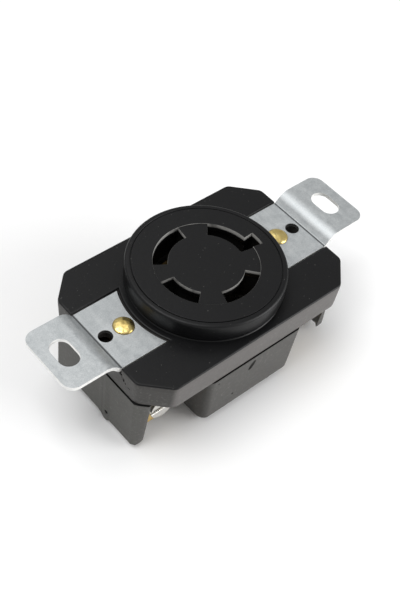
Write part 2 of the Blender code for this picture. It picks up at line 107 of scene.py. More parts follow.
def insetLoop(loop, distance):
    # each point moves towards the material along the mitre of its two sides
    into = loop - np.roll(loop, 1, 0)
    out = np.roll(loop, -1, 0) - loop
    into /= np.linalg.norm(into, axis=1, keepdims=True)
    out /= np.linalg.norm(out, axis=1, keepdims=True)
    leftIn = np.stack([-into[:, 1], into[:, 0]], 1)
    leftOut = np.stack([-out[:, 1], out[:, 0]], 1)
    spread = np.maximum(1 + (leftIn * leftOut).sum(1, keepdims=True), 0.3)
    return loop + distance * (leftIn + leftOut) / spread


def sectorLoop(inner, outer, start, end, steps=18):
    # a piece of a ring: out along the outer arc, and back along the inner one
    return np.concatenate([arcPoints(outer, start, end, steps), arcPoints(inner, end, start, steps)])


# shells: (points, faces) of a closed surface, made of grids of levels and flat caps

def edgeRun(low, high, lowRound, highRound, steps=4, flat=0.15 * mm):
    # (height, inset) up a wall: a quarter arc at the foot, the wall, and a quarter arc at the top
    angle = np.linspace(0, math.pi / 2, steps + 1)
    foot = np.stack([low + lowRound * (1 - np.sin(angle[::-1])), lowRound * (1 - np.cos(angle[::-1]))], 1)
    head = np.stack([high - highRound * (1 - np.sin(angle)), highRound * (1 - np.cos(angle))], 1)
    foot = foot if lowRound else foot[-1:]
    head = head if highRound else head[-1:]
    start = [[low, foot[0, 1] + flat]]
    end = [[high, head[-1, 1] + flat]]
    return np.concatenate([start, foot, head, end])


def levels(loop, run):
    # the loop inset and lifted by each step of an edge run
    rings = [np.column_stack([insetLoop(loop, inset), np.full(len(loop), height)]) for height, inset in run]
    return np.array(rings)


def shell(grids, caps=None):
    # quads join each level to the next, and each cap is a flat fill between loops of one level
    points = np.concatenate([grid.reshape(-1, 3) for grid in grids])
    starts = np.cumsum([0] + [grid.shape[0] * grid.shape[1] for grid in grids])
    faces = []
    rings = []
    for start, grid in zip(starts, grids):
        index = start + np.arange(grid.shape[0] * grid.shape[1]).reshape(grid.shape[:2])
        ahead = np.roll(index, -1, 1)
        faces += np.stack([index[:-1], ahead[:-1], ahead[1:], index[1:]], -1).reshape(-1, 4).tolist()
        rings.append(index)
    if caps is None:
        caps = [[(number, end) for number in range(len(grids))] for end in (0, -1)]
    for cap in caps:
        loops = [rings[number][level] for number, level in cap]
        flat = np.concatenate(loops)
        outlines = [[Vector((x, y, 0)) for x, y in points[loop][:, :2].tolist()] for loop in loops]
        faces += [[int(flat[i]) for i in corner] for corner in geometry.tessellate_polygon(outlines)]
    return points, faces


def plate(loops, low, high, lowRound, highRound, steps=4):
    # an outline and its holes, drawn up from low to high with rounded edges
    run = edgeRun(low, high, lowRound, highRound, steps)
    return shell([levels(loop, run) for loop in loops])


def turned(profile, count=128):
    # a closed (radius, height) profile, carried round Z
    profile = np.asarray(profile, float)
    angle = np.linspace(0, 2 * math.pi, count, endpoint=False)
    ring = np.stack([np.cos(angle), np.sin(angle)], 1)
    grid = np.zeros((len(profile) + 1, count, 3))
    closed = np.concatenate([profile, profile[:1]])
    grid[:, :, :2] = closed[:, None, :1] * ring[None]
    grid[:, :, 2] = closed[:, 1:]
    return shell([grid], caps=[])


def moved(part, matrix):
    # every point through a 4 by 4 matrix
    points, faces = part
    matrix = np.array(matrix)
    return points @ matrix[:3, :3].T + matrix[:3, 3], faces


def alongX(part):
    # a shell drawn up Z lies down along X, its own X along Y
    return moved(part, Matrix(((0, 0, 1, 0), (1, 0, 0, 0), (0, 1, 0, 0), (0, 0, 0, 1))))


def meshOf(name, parts):
    # several closed shells in one mesh, welded, with their faces turned outwards
    mesh = bpy.data.meshes.new(name)
    offset = 0
    points = []
    faces = []
    for shellPoints, shellFaces in parts:
        points.append(shellPoints)
        faces += [[offset + i for i in face] for face in shellFaces]
        offset += len(shellPoints)
    mesh.from_pydata(np.concatenate(points).tolist(), [], faces)
    work = bmesh.new()
    work.from_mesh(mesh)
    bmesh.ops.remove_doubles(work, verts=work.verts, dist=1e-8)
    bmesh.ops.dissolve_degenerate(work, edges=work.edges, dist=1e-8)
    bmesh.ops.recalc_face_normals(work, faces=work.faces)
    work.to_mesh(mesh)
    work.free()
    return mesh


def carved(part, cutters):
    # a shell with pits taken out of it, each by a Boolean
    body = bpy.data.objects.new("carved", meshOf("carved", [part]))
    bpy.context.scene.collection.objects.link(body)
    tools = []
    for cutter in cutters:
        tool = bpy.data.objects.new("tool", meshOf("tool", [cutter]))
        bpy.context.scene.collection.objects.link(tool)
        modifier = body.modifiers.new("pit", "BOOLEAN")
        modifier.operation = "DIFFERENCE"
        modifier.object = tool
        tools.append(tool)
    graph = bpy.context.evaluated_depsgraph_get()
    mesh = bpy.data.meshes.new_from_object(body.evaluated_get(graph))
    points = np.zeros(len(mesh.vertices) * 3)
    mesh.vertices.foreach_get("co", points)
    faces = [list(polygon.vertices) for polygon in mesh.polygons]
    for thing in [body] + tools:
        bpy.data.objects.remove(thing, do_unlink=True)
    return points.reshape(-1, 3), faces


def addPiece(name, parts, material, body, nodes, sharp=32):
    # a finished piece: its mesh, its finish, and what it rides on and stands for
    piece = bpy.data.objects.new(name, meshOf(name, parts))
    bpy.context.scene.collection.objects.link(piece)
    piece.data.materials.append(material)
    piece.data.shade_smooth()
    piece.data.set_sharp_from_angle(angle=math.radians(sharp))
    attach(piece, body)
    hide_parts(*nodes)


# an ear's sizes stand here, because its finishes need them too
ear = {
    "half": 9.42 * mm, "end": earHigh.x, "corner": 3.0 * mm, "arc": 21.8 * mm, "bend": 32.7 * mm,
    "angle": 50.0, "inner": 0.5 * mm, "outer": 4.5 * mm, "slotX": 41.66 * mm, "slotWide": 5.2 * mm,
    "slotLong": 8.3 * mm, "tapX": 30.16 * mm, "tap": 1.8 * mm, "rivetX": 24.9 * mm, "rivetHole": 2.3 * mm,
    "edge": 0.14 * mm, "columns": 25, "sharpAbove": 50,
}


# materials
class Value:
    # one socket of a material, on which sums can be written
    def __init__(self, tree, socket=None):
        self.tree = tree
        self.socket = socket

    def node(self, kind, settings=None, inputs=None, output=0):
        made = self.tree.nodes.new("ShaderNode" + kind)
        for key, value in (settings or {}).items():
            if key == "stops":
                while len(made.color_ramp.elements) < len(value):
                    made.color_ramp.elements.new(0.5)
                for element, (position, shade) in zip(made.color_ramp.elements, value):
                    element.position = position
                    element.color = (shade, shade, shade, 1)
            else:
                setattr(made, key, value)
        for key, value in (inputs or {}).items():
            if isinstance(value, Value):
                self.tree.links.new(value.socket, made.inputs[key])
            else:
                made.inputs[key].default_value = value
        return Value(self.tree, made.outputs[output])

    def sum(self, operation, first, second):
        return self.node("Math", {"operation": operation}, {0: first, 1: second})

    def __add__(self, other):
        return self.sum("ADD", self, other)

    def __radd__(self, other):
        return self.sum("ADD", other, self)

    def __sub__(self, other):
        return self.sum("SUBTRACT", self, other)

    def __rsub__(self, other):
        return self.sum("SUBTRACT", other, self)

    def __mul__(self, other):
        return self.sum("MULTIPLY", self, other)

    def __rmul__(self, other):
        return self.sum("MULTIPLY", other, self)

    def size(self):
        return self.sum("ABSOLUTE", self, 0.0)

    def axis(self, vector, number):
        # one of a vector's three numbers
        return self.node("SeparateXYZ", {}, {0: vector}, number)

    def ramp(self, low, high):
        return self.node("MapRange", {"clamp": True}, {"Value": self, "From Min": low, "From Max": high})

    def mix(self, first, second):
        # this value carries the colour from the first to the second
        blend = self.tree.nodes.new("ShaderNodeMix")
        blend.data_type = "RGBA"
        self.tree.links.new(self.socket, blend.inputs[0])
        for slot, colour in ((6, first), (7, second)):
            if isinstance(colour, Value):
                self.tree.links.new(colour.socket, blend.inputs[slot])
            else:
                blend.inputs[slot].default_value = (*colour, 1)
        return Value(self.tree, blend.outputs[2])


def newFinish(name):
    # an empty material with its shader, and a value to write sums from
    material = bpy.data.materials.new(name)
    material.use_nodes = True
    tree = material.node_tree
    shader = tree.nodes["Principled BSDF"]
    return material, shader, Value(tree)


def plug(shader, **sockets):
    # each named socket takes a value or a link
    for name, value in sockets.items():
        socket = shader.inputs[name.replace("_", " ")]
        if isinstance(value, Value):
            value.tree.links.new(value.socket, socket)
        else:
            socket.default_value = value


def noise(start, scale, detail=3, rough=0.5, stretch=None):
    # noise on object coordinates, with a scale of features per metre
    place = start.node("TexCoord", output=3)
    if stretch:
        place = start.node("Mapping", {}, {"Vector": place, "Scale": stretch})
    return start.node("TexNoise", {}, {"Vector": place, "Scale": scale, "Detail": detail, "Roughness": rough})


def mouldedPlastic(name, look):
    # near-black plastic: fine moulded grain, faint cloudy sheen, dust specks, and paler walls below the
    # height where the polished part of the mould ends, pale partly for their duller finish and partly as
    # painted light.
    # Long sides and ends have their own shades, which are painted light for how the lamps fall on them
    material, shader, start = newFinish(name)
    grain = noise(start, look["grain"], 2)
    cloud = noise(start, 160, 4, 0.6)
    speck = noise(start, 2300, 1).ramp(0.765, 0.80)
    normal = start.node("NewGeometry", output=1)
    place = start.node("TexCoord", output=3)
    upward = start.axis(normal, 2).size()
    sideways = start.axis(normal, 1).size()
    wall = 1 - upward.ramp(0.25, 0.95)          # 1 where the surface stands upright
    below = 1 - start.axis(place, 2).ramp(look["polishedFrom"] - 0.2 * mm, look["polishedFrom"])
    # painted light: end faces take their own shade, set for how the lamps fall on them
    atEnd = start.axis(place, 0).size().ramp(look["endFrom"], look["endFrom"] + 2 * mm)
    paintedEndLight = atEnd * (1 - sideways.ramp(0.75, 0.95))
    pale = paintedEndLight.mix(look["side"], look["end"])
    scuff = noise(start, 1250, 5, 0.72)
    # the walls' pale tone: partly their duller finish, partly painted light on the lit walls
    paleWallFinishAndLight = wall * below * (0.62 + scuff * 0.5 + cloud * 0.26)
    colour = paleWallFinishAndLight.mix(look["top"], pale)
    chalk = wall * below * scuff.ramp(0.56, 0.74) * look["scuff"]
    colour = chalk.mix(colour, look["chalk"])
    if "slotHighlight" in look:
        # a painted highlight on the slots' edges, for a little way down
        level = start.node("VectorMath", {"operation": "MULTIPLY"}, {0: place, 1: (1, 1, 0)})
        radius = start.node("VectorMath", {"operation": "LENGTH"}, {0: level}, 1)
        atSlot = 1 - radius.ramp(hook["radius"] + 0.6 * mm, hook["radius"] + 1.0 * mm)
        nearFace = start.axis(place, 2).ramp(faceTop - look["slotHighlightDepth"], faceTop - 0.7 * look["slotHighlightDepth"])
        paintedHighlight = wall * atSlot * nearFace * cloud.ramp(0.30, 0.50)
        colour = paintedHighlight.mix(colour, look["slotHighlight"])
    colour = (speck * look["dust"]).mix(colour, look["dustTone"])
    rough = look["rough"] + cloud * 0.14 - 0.07 + grain * 0.06
    orange = noise(start, 700, 3, 0.55)
    bump = start.node("Bump", {}, {"Height": grain * 0.5 + cloud * 0.4 + orange * 0.8,
                                   "Strength": look["bump"], "Distance": 0.00008})
    plug(shader, Base_Color=colour, Roughness=rough, Normal=bump, Specular_IOR_Level=look["specular"])
    return material


def platedSteel(name, look):
    # zinc plate: spangle-like mottling, faint rolling lines and shallow ripples
    material, shader, start = newFinish(name)
    mottle = noise(start, 620, 4, 0.6)
    spangle = noise(start, 3600, 2)
    rolled = noise(start, 900, 2, stretch=(1, 0.12, 1))
    shade = (mottle * 0.35 + spangle * 0.45 + rolled * 0.2).ramp(0.38, 0.62)
    colour = shade.mix(look["dark"], look["light"])
    height = mottle * 0.6 + spangle * 0.4
    if "crease" in look:
        # painted shade in the tight inner bend
        off = (start.axis(start.node("TexCoord", output=3), 0).size() - look["crease"]).size()
        inBend = 1 - off.ramp(look["creaseWide"], 2 * look["creaseWide"])
        colour = (inBend * 0.85).mix(colour, look["creaseShade"])
    if "tapX" in look:
        # the tapped hole's wall: painted shade, varied by a fine thread cut round it, which also bumps the
        # surface
        place = start.node("TexCoord", output=3)
        along = start.axis(place, 0).size() - look["tapX"]
        across = start.axis(place, 1)
        reach = look["tapReach"]
        inHole = 1 - (along * along + across * across).ramp(reach ** 2, (1.1 * reach) ** 2)
        lap = start.axis(place, 2) * (2 * math.pi / look["pitch"])
        turns = lap.sum("SINE", lap, 0.0)
        colour = (inHole * (0.90 - turns * 0.06)).mix(colour, look["tapShade"])
        height = height + inHole * turns
    bump = start.node("Bump", {}, {"Height": height, "Strength": look["bump"], "Distance": 0.00005})
    rough = look["rough"] + shade * 0.12
    plug(shader, Base_Color=colour, Roughness=rough, Metallic=look["metal"], Normal=bump)
    return material


def brightMetal(name, look):
    # brass, bronze or plated metal: tarnish clouds and fine marks from tools
    material, shader, start = newFinish(name)
    tarnish = noise(start, 500, 4, 0.6).ramp(0.35, 0.7)
    marks = noise(start, 2600, 2, stretch=(1, 0.3, 1))
    colour = tarnish.mix(look["bright"], look["dull"])
    if "footDark" in look:
        # tarnish gathers round the foot of the head
        height = start.axis(start.node("TexCoord", output=3), 2)
        low = 1 - height.ramp(look["foot"] + look["darkTo"], look["foot"] + look["clearFrom"])
        colour = (low * 0.85).mix(colour, look["footDark"])
    relief = marks
    if "hammer" in look:
        # flats left by the rivet set
        dents = start.node("TexVoronoi", {"feature": "SMOOTH_F1"}, {
            "Vector": start.node("TexCoord", output=3), "Scale": look["hammer"], "Smoothness": 0.3})
        relief = marks * 0.4 + dents * 3.2
    bump = start.node("Bump", {}, {"Height": relief, "Strength": look["bump"], "Distance": 0.00004})
    rough = look["rough"] + tarnish * 0.15 + marks * 0.08
    plug(shader, Base_Color=colour, Roughness=rough, Metallic=look["metal"], Normal=bump)
    return material


# each plastic's side tone is partly its duller finish and partly painted light, and its end tone is painted
# light for how the lamps fall on the ends
coverPlastic = mouldedPlastic("coverPlastic", {
    "top": (0.0022, 0.0023, 0.0027), "side": (0.100, 0.094, 0.090), "end": (0.042, 0.040, 0.037),
    # the slots' edges take a painted highlight: its colour, and how far down the wall it reaches
    "slotHighlight": (0.34, 0.335, 0.32), "slotHighlightDepth": 1.2 * mm,
    "scuff": 0.45, "chalk": (0.22, 0.215, 0.20), "dustTone": (0.32, 0.31, 0.29),
    "rough": 0.41, "specular": 0.27, "grain": 2600, "bump": 0.5, "dust": 0.30,
    "polishedFrom": coverTop - 0.35 * mm, "endFrom": 20 * mm})
bodyPlastic = mouldedPlastic("bodyPlastic", {
    "top": (0.006, 0.006, 0.0058), "side": (0.074, 0.072, 0.068), "end": (0.090, 0.089, 0.082),
    "scuff": 0.5, "chalk": (0.22, 0.22, 0.205), "dustTone": (0.32, 0.31, 0.29),
    "rough": 0.54, "specular": 0.25, "grain": 2200, "bump": 0.6, "dust": 0.25,
    "polishedFrom": coverTop - 4.0 * mm, "endFrom": 27 * mm})
zincSteel = platedSteel("zincSteel", {"light": (0.60, 0.62, 0.625), "dark": (0.43, 0.455, 0.465),
                                      "rough": 0.46, "bump": 0.3, "metal": 0.9,
                                      "crease": ear["bend"], "creaseWide": 0.16 * mm,
                                      "creaseShade": (0.05, 0.052, 0.055)})
cutSteel = platedSteel("cutSteel", {"light": (0.90, 0.90, 0.88), "dark": (0.74, 0.74, 0.72),
                                    "rough": 0.42, "bump": 0.3, "metal": 0.35,
                                    "tapX": ear["tapX"], "tapReach": ear["tap"] + 0.15 * mm,
                                    "tapShade": (0.010, 0.010, 0.010), "pitch": 0.79 * mm})
rivetBrass = brightMetal("rivetBrass", {"bright": (0.86, 0.70, 0.30), "dull": (0.62, 0.46, 0.15),
                                        "rough": 0.22, "bump": 0.9, "metal": 1.0, "hammer": 900,
                                        "foot": strapTop, "footDark": (0.22, 0.14, 0.04),
                                        "darkTo": 0.12 * mm, "clearFrom": 0.5 * mm})
stampedBrass = brightMetal("stampedBrass", {"bright": (0.78, 0.58, 0.24), "dull": (0.55, 0.38, 0.14),
                                            "rough": 0.28, "bump": 0.3, "metal": 1.0})
# the contacts' brass is darkened as painted shade for the deep chambers they sit in
contactBrassShaded = brightMetal("contactBrassShaded", {"bright": (0.34, 0.24, 0.10), "dull": (0.16, 0.10, 0.045),
                                            "rough": 0.42, "bump": 0.3, "metal": 1.0})
springBronze = brightMetal("springBronze", {"bright": (0.62, 0.40, 0.22), "dull": (0.42, 0.25, 0.12),
                                            "rough": 0.30, "bump": 0.25, "metal": 1.0})
nickelPlate = brightMetal("nickelPlate", {"bright": (0.80, 0.79, 0.76), "dull": (0.60, 0.58, 0.54),
                                          "rough": 0.24, "bump": 0.25, "metal": 1.0})
greenPlate = brightMetal("greenPlate", {"bright": (0.10, 0.36, 0.16), "dull": (0.05, 0.20, 0.09),
                                        "rough": 0.34, "bump": 0.3, "metal": 0.8})
print("materials made")


# front cover

cover = {
    "cornerCut": 6.5 * mm, "topCorner": 2.3 * mm, "footCorner": 3.8 * mm,
    "taper": 0.28 * mm,               # how far the skirt leans in by its foot
    "edge": 0.42 * mm, "footEdge": 0.35 * mm, "wall": 2.0 * mm,
    "underside": 3.2 * mm,            # from the top of the cover to the ceiling inside it
    "bed": 1.3 * mm,                  # from the top of an ear's sunk part to the floor of its bed
    "bedHalf": 9.72 * mm, "land": 21.3 * mm, "hollow": 17.0 * mm,
    "rim": 19.9 * mm, "rimEdge": 0.75 * mm, "rimFoot": 1.5 * mm, "rimFootEdge": 0.12 * mm,
    "neck": 19.45 * mm, "fillet": 0.2 * mm, "groove": 18.5 * mm, "grooveDeep": 0.35 * mm,
    "band": 18.3 * mm, "seam": 13.4 * mm, "faceThick": 2.2 * mm,
    "centreDrop": 0.18 * mm,          # how far the middle of the face lies below its outer band
}


def octagon(inset, radius):
    # a rectangle whose corners are cut off, inset evenly, with its eight corners rounded
    x = halfLength - inset
    y = halfWidth - inset
    cut = cover["cornerCut"] - inset * (2 - math.sqrt(2))
    corners = [(x, cut - y), (x, y - cut), (x - cut, y), (cut - x, y),
               (-x, y - cut), (-x, cut - y), (cut - x, -y), (x - cut, -y)]
    return roundedLoop(corners, radius, 6)


def coverSkirt():
    # outer wall from foot to bed floor: corners go from full to crisp, and the wall leans out as it rises
    floor = strapTop - cover["bed"]
    ceiling = coverTop - cover["underside"]
    run = edgeRun(skirtBottom, floor, cover["footEdge"], 0)
    run = np.insert(run, -2, [[skirtBottom + (floor - skirtBottom) * t, 0] for t in (0.3, 0.55, 0.8)], 0)
    rings = []
    for height, inset in run:
        share = (height - skirtBottom) / (floor - skirtBottom)
        radius = cover["footCorner"] + (cover["topCorner"] - cover["footCorner"]) * share ** 0.7
        lean = cover["taper"] * (1 - share)
        outline = octagon(inset + lean, radius)
        rings.append(np.column_stack([outline, np.full(len(outline), height)]))
    outer = np.array(rings)
    inner = octagon(cover["wall"], 1.0 * mm)[::-1]
    inside = np.array([np.column_stack([inner, np.full(len(inner), z)]) for z in (skirtBottom, ceiling)])
    ring = circle(cover["hollow"])[::-1]
    throat = np.array([np.column_stack([ring, np.full(len(ring), z)]) for z in (ceiling, floor)])
    caps = [[(0, 0), (1, 0)], [(1, 1), (2, 0)], [(0, -1), (2, 1)]]
    return shell([outer, inside, throat], caps)


def coverDeck():
    # the raised part of the cover's top: the octagon less a bed for each ear, whose head is the land's arc
    half = cover["bedHalf"]
    reach = math.degrees(math.asin(half / cover["land"]))
    outline = octagon(0, cover["topCorner"])
    upper = outline[outline[:, 1] > half]
    bedLeft = arcPoints(cover["land"], 180 - reach, 180 + reach, 24)
    bedRight = arcPoints(cover["land"], -reach, reach, 24)
    lower = -upper
    loop = np.concatenate([
        [(halfLength, half)], upper, [(-halfLength, half)], bedLeft,
        [(-halfLength, -half)], lower, [(halfLength, -half)], bedRight])
    low = strapTop - cover["bed"] - 0.05 * mm        # let into the skirt, so that no edges coincide
    return plate([loop, circle(cover["hollow"])[::-1]], low, coverTop, 0, cover["edge"])


def rimProfile():
    # the disc's rim and neck: a fine groove, a rounded rim, a straight side, an undercut and the neck
    rim = cover["rim"]
    neck = cover["neck"]
    flare = neck + cover["fillet"]
    groove = cover["groove"]
    edge = cover["rimEdge"]
    footEdge = cover["rimFootEdge"]
    rimFoot = strapTop + cover["rimFoot"]
    inside = coverTop - cover["underside"]
    grooveFloor = faceTop - cover["grooveDeep"]
    top = arcPoints(edge, 90, 0, 7, (rim - edge, faceTop - edge))
    foot = arcPoints(footEdge, 0, -90, 4, (rim - footEdge, rimFoot + footEdge))
    return np.concatenate([
        [(cover["hollow"], inside), (cover["hollow"], grooveFloor), (groove, grooveFloor),
         (groove, faceTop - 0.08 * mm), (groove + 0.08 * mm, faceTop)],
        top, foot,
        [(neck, rimFoot), (neck, coverTop + cover["fillet"]),
         (flare, coverTop - 0.01 * mm), (flare, inside)]])


def faceRing():
    # the outer band of the face, with the ground slot's step taken out of its inner edge
    circleArc = arcPoints(slotRadii[1], hook["end"], hook["start"] + 360, 90)
    bite = arcPoints(hook["radius"], hook["start"], hook["end"], 8)
    loop = np.concatenate([circleArc, bite])[::-1]
    low = faceTop - cover["faceThick"]
    return plate([circle(cover["band"]), loop], low, faceTop, 0.1 * mm, 0.1 * mm, 3)


def faceCentre():
    # the middle of the face, a little lower, whose spokes run out between the blade slots
    spans = sorted(bladeSlots.values())
    pieces = []
    for number, (start, end) in enumerate(spans):
        following = spans[(number + 1) % len(spans)][0] + (360 if number + 1 == len(spans) else 0)
        pieces.append(arcPoints(slotRadii[0], start, end, 18))
        pieces.append(arcPoints(cover["seam"], end, following, 14))
    low = faceTop - cover["faceThick"]
    return plate([np.concatenate(pieces)], low, faceTop - cover["centreDrop"], 0.08 * mm, 0.08 * mm, 3)


def pit(centre, size, turn=0.0):
    # a small ellipsoid: a turned half circle, stretched, rolled about Y, and put in place, all in mm
    angle = np.radians(np.linspace(-88, 88, 9))
    profile = np.stack([np.cos(angle), np.sin(angle)], 1)
    ring = np.linspace(0, 2 * math.pi, 14, endpoint=False)
    grid = np.zeros((9, 14, 3))
    grid[:, :, 0] = profile[:, :1] * np.cos(ring)
    grid[:, :, 1] = profile[:, :1] * np.sin(ring)
    grid[:, :, 2] = profile[:, 1:]
    stretch = Matrix.Diagonal((*(Vector(size) * mm), 1))
    place = Matrix.Translation(Vector(centre) * mm) @ Matrix.Rotation(turn, 4, "Y") @ stretch
    return moved(shell([grid]), place)


def well(side, floor, top):
    # a round hole under one of the ears' tapped holes
    centre = (side * ear["tapX"], 0)
    return plate([circle(ear["tap"] + 0.3 * mm, 32, centre)], floor, top, 0, 0)


# centre and half sizes, in mm, of the moulding flaws
endPits = [((-33.0, -9.5, 24.7), (0.7, 0.55, 0.55)), ((-33.0, -10.5, 23.3), (0.6, 0.4, 0.8)),
           ((-33.0, -11.2, 22.6), (0.4, 0.25, 0.4)), ((-33.0, -12.6, 22.1), (0.25, 0.7, 0.2)),
           ((-33.0, -9.9, 23.9), (0.45, 0.2, 0.35))]
tapWells = [well(side, coverTop - cover["underside"] - mm, strapTop) for side in (-1, 1)]
skirt = carved(coverSkirt(), [pit(centre, size, 0.3) for centre, size in endPits] + tapWells)
addPiece("coverMoulding", [skirt, coverDeck(), turned(rimProfile(), 160), faceRing(), faceCentre()],
         coverPlastic, "housing", ["front_cover"])
print("cover made")


# rear body

rear = {
    "blockHalf": 15.0 * mm, "blockFoot": 14.3 * mm, "footHalf": 20.5 * mm, "footRound": 3.5 * mm,
    "corner": 1.6 * mm, "webHalf": 9.2 * mm, "webFoot": 4.0 * mm, "wall": 2.3 * mm, "wallFoot": 1.2 * mm,
    "lug": 1.2 * mm, "lugY": 4.7 * mm, "lugHalf": 1.5 * mm,
    "cavityFloor": 5.2 * mm, "cavity": (8.2 * mm, 14.2 * mm), "tower": 16.7 * mm,
    "cavityMargin": 2.0, "hookWell": 16.2 * mm, "lean": 0.10, "tapWell": 8.0 * mm,
    "towerTop": faceTop - 2.5 * mm, "coreTop": coverTop - 4.8 * mm,
    "slack": 0.1 * mm,                # how far the body stays inside the cover's outline
    "coreInset": 2.6 * mm, "webEdge": 0.8 * mm,
    "wallReach": 2.35 * mm,           # how far the end walls run on past the cut corners' start
    "curl": 1.7 * mm, "wallEdge": 0.45 * mm, "footStep": 0.35 * mm, "stepFrom": 2.0 * mm,
}


def cavityLoops(stepped):
    # one ring sector for each contact, clockwise, a little longer than its blade slot. A stepped one
    # for the ground contact is wider where its slot steps out
    inner, outer = rear["cavity"]
    margin = rear["cavityMargin"]
    loops = []
    for pole, (start, end) in bladeSlots.items():
        loop = sectorLoop(inner, outer, start - margin, end + margin)
        if stepped and pole == "ground":
            step = arcPoints(rear["hookWell"], start - margin, hook["end"] + margin, 10)
            rest = arcPoints(outer, hook["end"] + margin, end + margin, 16)
            loop = np.concatenate([step, rest, arcPoints(inner, end + margin, start - margin, 18)])
        loops.append(loop[::-1])
    return loops


def blockShell():
    # rounded rectangles up Z: the long sides lean out, and their feet follow a quarter circle
    rounding = rear["footRound"]
    angle = np.radians(np.linspace(12, 90, 9))
    heights = np.concatenate([rounding * (1 - np.sin(angle[::-1])), np.linspace(5 * mm, bodyTop, 6)])
    rings = []
    for height in heights:
        share = height / bodyTop
        below = max(rounding - height, 0)
        curl = rounding - math.sqrt(max(rounding ** 2 - below ** 2, 0))
        y = rear["footHalf"] + (halfWidth - rear["slack"] - rear["footHalf"]) * share - curl
        x = rear["blockFoot"] + (rear["blockHalf"] - rear["blockFoot"]) * share - 0.15 * curl
        corners = [(x, -y), (x, y), (-x, y), (-x, -y)]
        outline = roundedLoop(corners, rear["corner"], 6)
        rings.append(np.column_stack([outline, np.full(len(outline), height)]))
    outer = np.array(rings)
    holes = cavityLoops(False)
    grids = [outer] + [np.array([np.column_stack([loop, np.full(len(loop), z)])
                                 for z in (rear["cavityFloor"], bodyTop)]) for loop in holes]
    number = range(1, len(grids))
    caps = [[(0, 0)], [(0, -1)] + [(i, 1) for i in number]] + [[(i, 0)] for i in number]
    return shell(grids, caps)


def towerShell():
    # the round core that stands up inside the cover, with the contacts' chambers going down through it
    foot = bodyTop - 0.07 * mm        # let into the block, so that no edges coincide
    return plate([circle(rear["tower"])] + cavityLoops(True), foot, rear["towerTop"], 0, 0.3 * mm)


def webShell(side):
    # the rib between the block and an end wall, a rounded rectangle carried along X
    half = rear["webHalf"]
    corners = [(-half, rear["webFoot"]), (half, rear["webFoot"]), (half, bodyTop), (-half, bodyTop)]
    edges = (rear["webEdge"], rear["webEdge"], 0.1 * mm, 0.1 * mm)
    near, far = sorted((side * (rear["blockHalf"] - mm), side * (halfLength - rear["wall"] / 2)))
    return alongX(plate([roundedLoop(corners, edges, 4)], near, far, 0, 0))


def coreShell():
    # the step inside the cover, over the ribs and the block
    x = halfLength - rear["coreInset"]
    y = rear["webHalf"]
    inner = rear["blockHalf"] - mm
    wide = halfWidth - rear["coreInset"]
    corners = [(x, -y), (x, y), (inner, y), (inner, wide), (-inner, wide), (-inner, y),
               (-x, y), (-x, -y), (-inner, -y), (-inner, -wide), (inner, -wide), (inner, -y)]
    loop = roundedLoop(corners, 0.3 * mm, 3)
    return plate([loop] + cavityLoops(True), bodyTop - 0.2 * mm, rear["coreTop"], 0, 0.1 * mm)


def endWall(side):
    # a section with a rounded foot, carried along the wall: out of one cut corner, across, and into the
    # other. Its foot is level but for a low lug, and curls up at both ends
    bend = halfWidth - cover["cornerCut"]
    reach = bend + rear["wallReach"]
    curl = rear["curl"]
    ends = reach - curl * (1 - np.cos(np.linspace(0, math.pi / 2, 7)))
    y = np.concatenate([-ends, np.linspace(-bend + 0.3 * mm, bend - 0.3 * mm, 61), ends[::-1]])
    outerX = halfLength - rear["slack"] - np.maximum(np.abs(y) - bend, 0)
    past = np.clip((np.abs(y) - (reach - curl)) / curl, 0, 1)
    foot = rear["wallFoot"] + curl * (1 - np.sqrt(1 - past ** 2 * 0.98))
    fromLug = np.clip(np.abs(y - side * rear["lugY"]) / rear["lugHalf"], 0, 1)
    foot = foot - rear["lug"] * np.cos(fromLug * math.pi / 2) ** 0.8
    foot = foot + rear["footStep"] * ((y * side < rear["stepFrom"]) & (fromLug >= 1))
    thick = np.minimum(rear["wall"], outerX - (halfLength - rear["wall"]) + 0.9 * mm)
    rounding = rear["wallEdge"]
    angle = np.radians(np.linspace(180, 360, 9))
    across = np.concatenate([[0.0], 0.5 + 0.5 * np.cos(angle), [1.0]])       # 0 inside, 1 outside
    rise = np.concatenate([[1.0], rounding * (1 + np.sin(angle)), [1.0]])
    grid = np.zeros((len(y), len(across), 3))
    grid[:, :, 0] = side * (outerX[:, None] - thick[:, None] * (1 - across[None]))
    height = foot[:, None] + rise[None]
    top = np.where(rise == 1.0)[0]
    height[:, top] = bodyTop
    grid[:, :, 2] = height
    shrink = 1 - rear["lean"] * past[:, None] * (bodyTop - height) / bodyTop
    grid[:, :, 1] = y[:, None] * shrink
    points = grid.reshape(-1, 3)
    count = len(across)
    index = np.arange(len(points)).reshape(len(y), count)
    ahead = np.roll(index, -1, 1)
    faces = np.stack([index[:-1], ahead[:-1], ahead[1:], index[1:]], -1).reshape(-1, 4).tolist()
    faces += [index[0].tolist(), index[-1].tolist()]
    return points, faces


pry = pit((-1.3, -21.35, 15.4), (0.8, 0.9, 1.8), 0.45)       # the slanted recess in the block's side
blockPits = [((-12.2, -21.4, 16.6), (0.35, 0.3, 0.25)), ((-6.0, -20.8, 7.0), (0.4, 0.2, 0.3))]
block = carved(blockShell(), [pry] + [pit(centre, size, 0.2) for centre, size in blockPits])
web = [carved(webShell(side), [well(side, rear["tapWell"], bodyTop + mm)]) for side in (-1, 1)]
core = carved(coreShell(), [well(side, rear["tapWell"], coverTop) for side in (-1, 1)])
leftWall = carved(endWall(-1), [pit((-33.1, -5.1, 3.9), (1.1, 0.65, 0.6))])
addPiece("bodyMoulding", [block, towerShell(), core, *web, leftWall, endWall(1)],
         bodyPlastic, "housing", ["rear_body"])
print("rear body made")


# mounting ears

